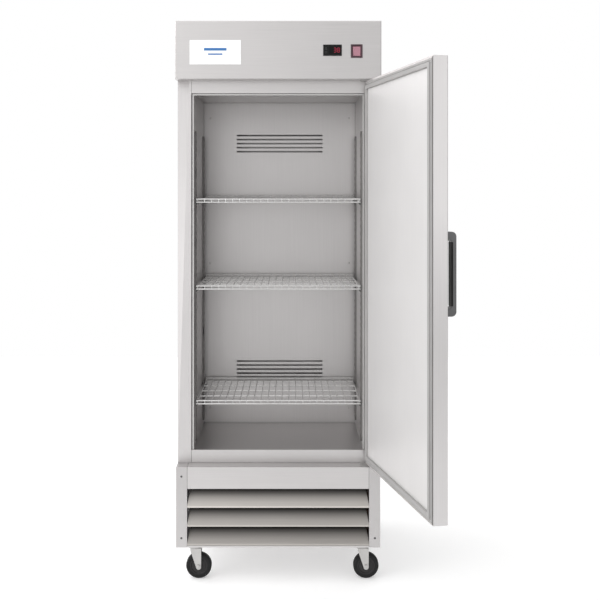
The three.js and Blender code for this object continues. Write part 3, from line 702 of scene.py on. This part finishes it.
def make_pilaster(side, place):
    """A channel on the wall with a column of slots in its face."""
    node = f"pilaster_{side}_{place}"
    low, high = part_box(node)
    inward = 1 if side == "left" else -1
    wall, face = (low.x, high.x) if inward > 0 else (high.x, low.x)
    count = round((high.z - low.z) / SLOT_PITCH)
    pitch = (high.z - low.z) / count
    y = [low.y, low.y + PILASTER_RIM, high.y - PILASTER_RIM, high.y]
    bm = bmesh.new()

    def quad(*corners):
        bm.faces.new([bm.verts.new(c) for c in corners])

    for i in range(count):
        z = [low.z + i * pitch + part * pitch for part in SLOT_PART]
        for a in range(3):
            for b in range(3):
                if a == 1 and b == 1:
                    continue
                quad((face, y[a], z[b]), (face, y[a + 1], z[b]), (face, y[a + 1], z[b + 1]),
                     (face, y[a], z[b + 1]))
        for edge in (y[0], y[3]):
            quad((wall, edge, z[0]), (face, edge, z[0]), (face, edge, z[3]), (wall, edge, z[3]))
    bmesh.ops.remove_doubles(bm, verts=bm.verts, dist=1e-5)
    bmesh.ops.recalc_face_normals(bm, faces=bm.faces)
    # the thickness grows outwards, so the channel goes back towards the wall by as much
    bmesh.ops.solidify(bm, geom=bm.faces, thickness=PILASTER_SHEET)
    bmesh.ops.translate(bm, verts=bm.verts, vec=(-inward * PILASTER_SHEET, 0, 0))
    # painted shade: the slotted channel is painted dark for the shadow along it
    piece = finish_piece(node + "_slotted", bm, PILASTER_STEEL_PAINTED_SHADE, "cabinet")
    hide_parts(node)


# a clip's outline in millimetres: out from the pilaster's face, and up from the shelf's deck
CLIP_OUTLINE = [(0.05, -26), (6, -19), (7.5, -9.4), (0.42, -8.6), (0.42, 12), (0.05, 16)]


def make_clips():
    """Hooked steel clips that carry the shelves, two at each side of each shelf."""
    bm = bmesh.new()
    for name in SHELVES:
        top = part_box("shelf_" + name)[1].z - BACK_STOP
        for side, inward in (("left", 1), ("right", -1)):
            for place in ("front", "rear"):
                low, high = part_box(f"pilaster_{side}_{place}")
                face = high.x if inward > 0 else low.x
                rings = []
                for y in (low.y + 4 * MM, high.y - 4 * MM):
                    rings.append([bm.verts.new((face + inward * u * MM, y, top + w * MM))
                                  for u, w in CLIP_OUTLINE])
                bm.faces.new(rings[0])
                bm.faces.new(rings[1][::-1])
                for k in range(len(CLIP_OUTLINE)):
                    j = (k + 1) % len(CLIP_OUTLINE)
                    bm.faces.new((rings[0][k], rings[1][k], rings[1][j], rings[0][j]))
    bmesh.ops.recalc_face_normals(bm, faces=bm.faces)
    soften(bm, 0.1 * MM, 1)
    finish_piece("shelf_clips", bm, DARK_ZINC, "cabinet")


def make_interior():
    for name in SHELVES:
        make_shelf(name)
    for side in ("left", "right"):
        for place in ("front", "rear"):
            make_pilaster(side, place)
    make_clips()
    refine("interior_light", LED, 3 * MM, 4)
    low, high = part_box("duct_panel")
    places = [(x, low.y, z) for x in (low.x + 25 * MM, high.x - 25 * MM)
              for z in (low.z + 60 * MM, (low.z + high.z) / 2, high.z - 60 * MM)]
    screws("duct_screws", places, (0, -1, 0), ZINC, 3.6 * MM)


# ---- header: plate, controller and rocker switch ----
SEGMENTS = {  # on the unit cell of a seven-segment digit: top, middle, bottom, then the uprights
    "a": (0.5, 1.0, 0), "g": (0.5, 0.5, 0), "d": (0.5, 0.0, 0),
    "f": (0.0, 0.75, 1), "b": (1.0, 0.75, 1), "e": (0.0, 0.25, 1), "c": (1.0, 0.25, 1),
}
DISPLAY = ("abgcd", "abcdefg")  # a three and an eight
DIGIT_HEIGHT = 15 * MM
DIGIT_WIDTH = 8 * MM
DIGIT_PITCH = 12.5 * MM
SEGMENT_HALF = 1.05 * MM
SEGMENT_GAP = 0.5 * MM
LENS_INSET = {"left": 19 * MM, "right": 5 * MM, "end": 6 * MM}


def add_bar(bm, middle, half, y, thick):
    """A thin flat bar with pointed ends, facing the front."""
    x, z = middle
    w, h = half
    n = min(w, h)
    if w > h:
        outline = [(-w, 0), (-w + n, -n), (w - n, -n), (w, 0), (w - n, n), (-w + n, n)]
    else:
        outline = [(0, -h), (n, -h + n), (n, h - n), (0, h), (-n, h - n), (-n, -h + n)]
    front = [bm.verts.new((x + u, y, z + v)) for u, v in outline]
    back = [bm.verts.new((x + u, y + thick, z + v)) for u, v in outline]
    bm.faces.new(front)
    bm.faces.new(back[::-1])
    for k in range(6):
        j = (k + 1) % 6
        bm.faces.new((front[k], back[k], back[j], front[j]))


def make_controller():
    low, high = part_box("controller")
    front = low.y
    refine("controller", BLACK_PLASTIC, 1.1 * MM, 3)
    for name in ("down", "up"):
        refine("controller_button_" + name, BUTTON_GREY, 0.7 * MM)
    bm = bmesh.new()
    left, right = low.x + LENS_INSET["left"], high.x - LENS_INSET["right"]
    add_box(bm, (left, front - 0.6 * MM, low.z + LENS_INSET["end"]),
            (right, front + 0.5 * MM, high.z - LENS_INSET["end"]))
    soften(bm, 0.5 * MM, 2)
    finish_piece("display_lens", bm, LENS, "cabinet")
    bm = bmesh.new()
    base_z = (low.z + high.z - DIGIT_HEIGHT) / 2
    upright_half = (SEGMENT_HALF, DIGIT_HEIGHT / 4 - SEGMENT_GAP)
    level_half = (DIGIT_WIDTH / 2 - SEGMENT_GAP, SEGMENT_HALF)
    for i, digit in enumerate(DISPLAY):
        corner = right - (1.55 - i) * DIGIT_PITCH - DIGIT_WIDTH / 2
        for key in digit:
            u, v, upright = SEGMENTS[key]
            half = upright_half if upright else level_half
            middle = (corner + u * DIGIT_WIDTH, base_z + v * DIGIT_HEIGHT)
            add_bar(bm, middle, half, front - 0.85 * MM, 0.4 * MM)
    finish_piece("display_digits", bm, DIGITS, "cabinet", smooth=20)


def make_switch():
    refine("rocker_bezel", ROCKER_FRAME, 1.0 * MM, 3)
    refine("rocker_key", ROCKER, 0.9 * MM, 3)


# the two plain bars on the plate, as parts of its size: height up it, half width, half thickness
PLATE_BARS = ((0.62, 0.22, 0.055), (0.42, 0.14, 0.03))


def make_plate():
    low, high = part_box("name_plate")
    refine("name_plate", PLATE, 0.5 * MM)
    width, height = high.x - low.x, high.z - low.z
    front = low.y - 0.15 * MM
    middle = (low.x + high.x) / 2
    bm = bmesh.new()
    for part, wide, thick in PLATE_BARS:
        z = low.z + part * height
        add_box(bm, (middle - wide * width, front, z - thick * height),
                (middle + wide * width, front + 0.4 * MM, z + thick * height))
    soften(bm, 0.1 * MM, 1)
    finish_piece("name_plate_bars", bm, MARK_BLUE, "cabinet")


# ---- base: screws and condenser ----
FRONT_SCREW_IN = 19 * MM  # from the base's side to a front screw
FRONT_SCREW_UP = 33 * MM  # from the post's end
REAR_SCREW_IN = 12 * MM
REAR_SCREW_SINK = 1.9 * MM  # keeps the heads inside the CAD's box
FIN_PITCH = 4 * MM
TUBE_RADIUS = 4.5 * MM
TUBE_ROWS = 8
TUBE_INSET = 15 * MM
TUBE_PAST_END = 3 * MM


def make_base_screws():
    places = []
    for side, node in ((1, "base_side_left"), (-1, "base_side_right")):
        low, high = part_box(node)
        outer = low.x if side > 0 else high.x
        heights = [low.z + FRONT_SCREW_UP]
        if side > 0:  # only the left post has an upper screw
            heights.insert(0, high.z - FRONT_SCREW_UP)
        places += [(outer + side * FRONT_SCREW_IN, low.y, z) for z in heights]
    screws("base_screws", places, (0, -1, 0), DARK_ZINC, 3.8 * MM)
    back = []
    low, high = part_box("rear_panel")
    inset = REAR_SCREW_IN
    for i in range(7):
        z = low.z + inset + i * (high.z - low.z - 2 * inset) / 6
        back += [(low.x + inset, high.y, z), (high.x - inset, high.y, z)]
    for i in range(1, 4):
        x = low.x + i * (high.x - low.x) / 4
        back += [(x, high.y, low.z + inset), (x, high.y, high.z - inset)]
    low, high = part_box("rear_grille")
    for x in (low.x + inset, (low.x + high.x) / 2, high.x - inset):
        back += [(x, high.y, low.z + inset), (x, high.y, high.z - inset)]
    flush = [(x, y - REAR_SCREW_SINK, z) for x, y, z in back]
    screws("rear_screws", flush, (0, 1, 0), ZINC, 4 * MM)


def add_return_bend(bm, low, high, outward):
    """The half ring that joins two tube rows, out past the coil's end."""
    middle = (low + high) / 2
    r = (high - low).length / 2
    points = []
    for k in range(9):
        a = math.pi * k / 8 - math.pi / 2
        points.append(middle + Vector((outward * 0.5 * r * math.cos(a), 0, r * math.sin(a))))
    add_tube(bm, points, TUBE_RADIUS, 10)


def make_machine():
    low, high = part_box("condenser_coil")
    bm = bmesh.new()
    for x in (low.x, high.x - 2 * MM):
        add_box(bm, (x, low.y, low.z), (x + 2 * MM, high.y, high.z))
    x = low.x + 6 * MM
    while x < high.x - 4 * MM:
        add_box(bm, (x, low.y + 1 * MM, low.z + 4 * MM),
                (x + 0.6 * MM, high.y - 1 * MM, high.z - 4 * MM))
        x += FIN_PITCH
    piece = finish_piece("condenser_fins", bm, FINS, "cabinet")
    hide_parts("condenser_coil")
    bm = bmesh.new()
    pitch = (high.z - low.z - 2 * TUBE_INSET) / (TUBE_ROWS - 1)
    left, right = low.x - TUBE_PAST_END, high.x + TUBE_PAST_END
    for y in (low.y + TUBE_INSET, high.y - TUBE_INSET):
        for i in range(TUBE_ROWS):
            z = low.z + TUBE_INSET + i * pitch
            add_rod(bm, (left, y, z), (right, y, z), TUBE_RADIUS, 10)
            if i:
                x, outward = (right, 1) if i % 2 else (left, -1)
                add_return_bend(bm, Vector((x, y, z - pitch)), Vector((x, y, z)), outward)
    finish_piece("condenser_tubes", bm, COPPER, "cabinet")


# ---- casters ----
def make_caster(place):
    wheel_low, wheel_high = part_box("caster_wheel_" + place)
    plate_low, plate_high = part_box("caster_plate_" + place)
    axle = (wheel_low + wheel_high) / 2
    radius = (wheel_high.x - wheel_low.x) / 2
    half = (wheel_high.y - wheel_low.y) / 2
    across = Matrix.Translation(axle) @ Matrix.Rotation(math.radians(-90), 4, "X")

    def wheel_outline(near):
        """The near half of an outline, of (radius, depth in from the face), and its mirror."""
        return [(r, d - half) for r, d in near] + [(r, half - d) for r, d in reversed(near)]

    tread = [(31 * MM, 2.2 * MM), (34 * MM, 1.2 * MM), (40 * MM, 1.0 * MM),
             (radius - 3.6 * MM, 2.4 * MM), (radius - 1.2 * MM, 4.6 * MM), (radius, 8 * MM)]
    bm = bmesh.new()
    add_turned(bm, wheel_outline(tread), 56, across)
    tyre = finish_piece("caster_tyre_" + place, bm, RUBBER, "wheel_" + place)
    hub = [(4.4 * MM, 0), (10 * MM, 0), (11.5 * MM, 1.5 * MM), (14 * MM, 5 * MM),
           (25 * MM, 5.5 * MM), (28 * MM, 2.6 * MM), (31.2 * MM, 2.4 * MM)]
    bm = bmesh.new()
    add_turned(bm, wheel_outline(hub), 40, across)
    finish_piece("caster_hub_" + place, bm, HUB_BLACK, "wheel_" + place)
    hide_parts("caster_wheel_" + place)

    swivel = (plate_low + plate_high) / 2
    refine("caster_fork_" + place, ZINC, 0.6 * MM)
    refine("caster_plate_" + place, ZINC, 0.8 * MM)
    bm = bmesh.new()
    for direction in (-1, 1):
        end = Vector((axle.x, axle.y + direction * (half + 3.6 * MM), axle.z))
        hex_head(bm, end, (0, direction, 0), 12 * MM, 4.4 * MM)
    finish_piece("caster_nuts_" + place, bm, ZINC, "caster_" + place)
    bm = bmesh.new()
    for u in (-1, 1):
        for v in (-1, 1):
            head = Vector((swivel.x + u * 23 * MM, swivel.y + v * 21 * MM, plate_low.z))
            hex_head(bm, head, (0, 0, -1), 9 * MM, 3.6 * MM)
    finish_piece("caster_bolts_" + place, bm, ZINC, "cabinet")


# ---- hinges and door ----
def make_hinges():
    for name in ("hinge_top", "hinge_bottom"):
        refine(name, ZINC, EDGE)


def make_door():
    axes = DOOR_AXES.inverted()
    face = local_box("door_skin", DOOR_AXES)[0].y + 3 * SHEET
    refine("door_skin", DOOR_STEEL_PAINTED_LIGHTER, EDGE, fold=BEND, where=lambda point: (axes @ point).y < face)
    refine("door_inner_panel", DOOR_LINER, 0.6 * MM)
    make_gasket()
    make_edge_shadow()
    make_handle()


GASKET_PROFILE = [  # offset in from the door's edge and height off its face, in millimetres
    (7, 0), (7, 2.0), (7.8, 3.1), (9.2, 3.5), (12.4, 3.5), (13.6, 3.1), (14.4, 1.9), (15.2, 1.3),
    (16.6, 1.3), (17.4, 2.2), (17.0, 5.8), (17.8, 7.6), (19.6, 8.4), (28.2, 8.4), (30.2, 7.6),
    (31.0, 5.8), (31.0, 0)]


def make_gasket():
    """A magnetic seal: one moulded profile carried round the door with mitred corners."""
    low, high = local_box("door_skin", DOOR_AXES)
    base = local_box("door_gasket", DOOR_AXES)[0].y
    bm = bmesh.new()
    rings = []
    for offset, height in GASKET_PROFILE:
        o, y = offset * MM, base + height * MM
        rings.append([bm.verts.new((x, y, z)) for x, z in (
            (low.x + o, low.z + o), (high.x - o, low.z + o),
            (high.x - o, high.z - o), (low.x + o, high.z - o))])
    for a, b in zip(rings, rings[1:] + rings[:1]):
        for k in range(4):
            j = (k + 1) % 4
            bm.faces.new((a[k], a[j], b[j], b[k]))
    piece = finish_piece("door_gasket_moulding", bm, GASKET, "door", DOOR_AXES, 50)
    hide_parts("door_gasket")


def make_edge_shadow():
    """Painted shadow: a dark strip on the inner face down the door's free edge, up to the gasket.
    """
    low, high = local_box("door_skin", DOOR_AXES)
    bm = bmesh.new()
    add_box(bm, (low.x + 0.9 * MM, high.y - 0.2 * MM, low.z + 3 * MM),
            (low.x + 6.6 * MM, high.y + 0.9 * MM, high.z - 3 * MM))
    soften(bm, 0.3 * MM, 2)
    finish_piece("door_edge_painted_shadow", bm, GAP_SHADOW_DARK, "door", DOOR_AXES)


def make_handle():
    refine("door_handle", HANDLE_GREY, 2.6 * MM, 4)
    low, high = local_box("door_handle", DOOR_AXES)
    proud, end = 0.3 * MM, 30 * MM
    inner = low.y + 10.6 * MM
    # painted shade: a black strip along the handle's inner side, where it lies in shade
    bm = bmesh.new()
    add_box(bm, (low.x - proud, inner, low.z + end), (high.x + proud, inner + 5 * MM, high.z - end))
    soften(bm, 1.2 * MM, 3)
    finish_piece("door_handle_painted_shade", bm, BLACK_PLASTIC, "door", DOOR_AXES)


make_sheet_metal()
make_seam_shadows()
make_interior()
make_plate()
make_controller()
make_switch()
make_base_screws()
make_machine()
for place in ("front_left", "rear_left", "front_right", "rear_right"):
    make_caster(place)
make_hinges()
make_door()
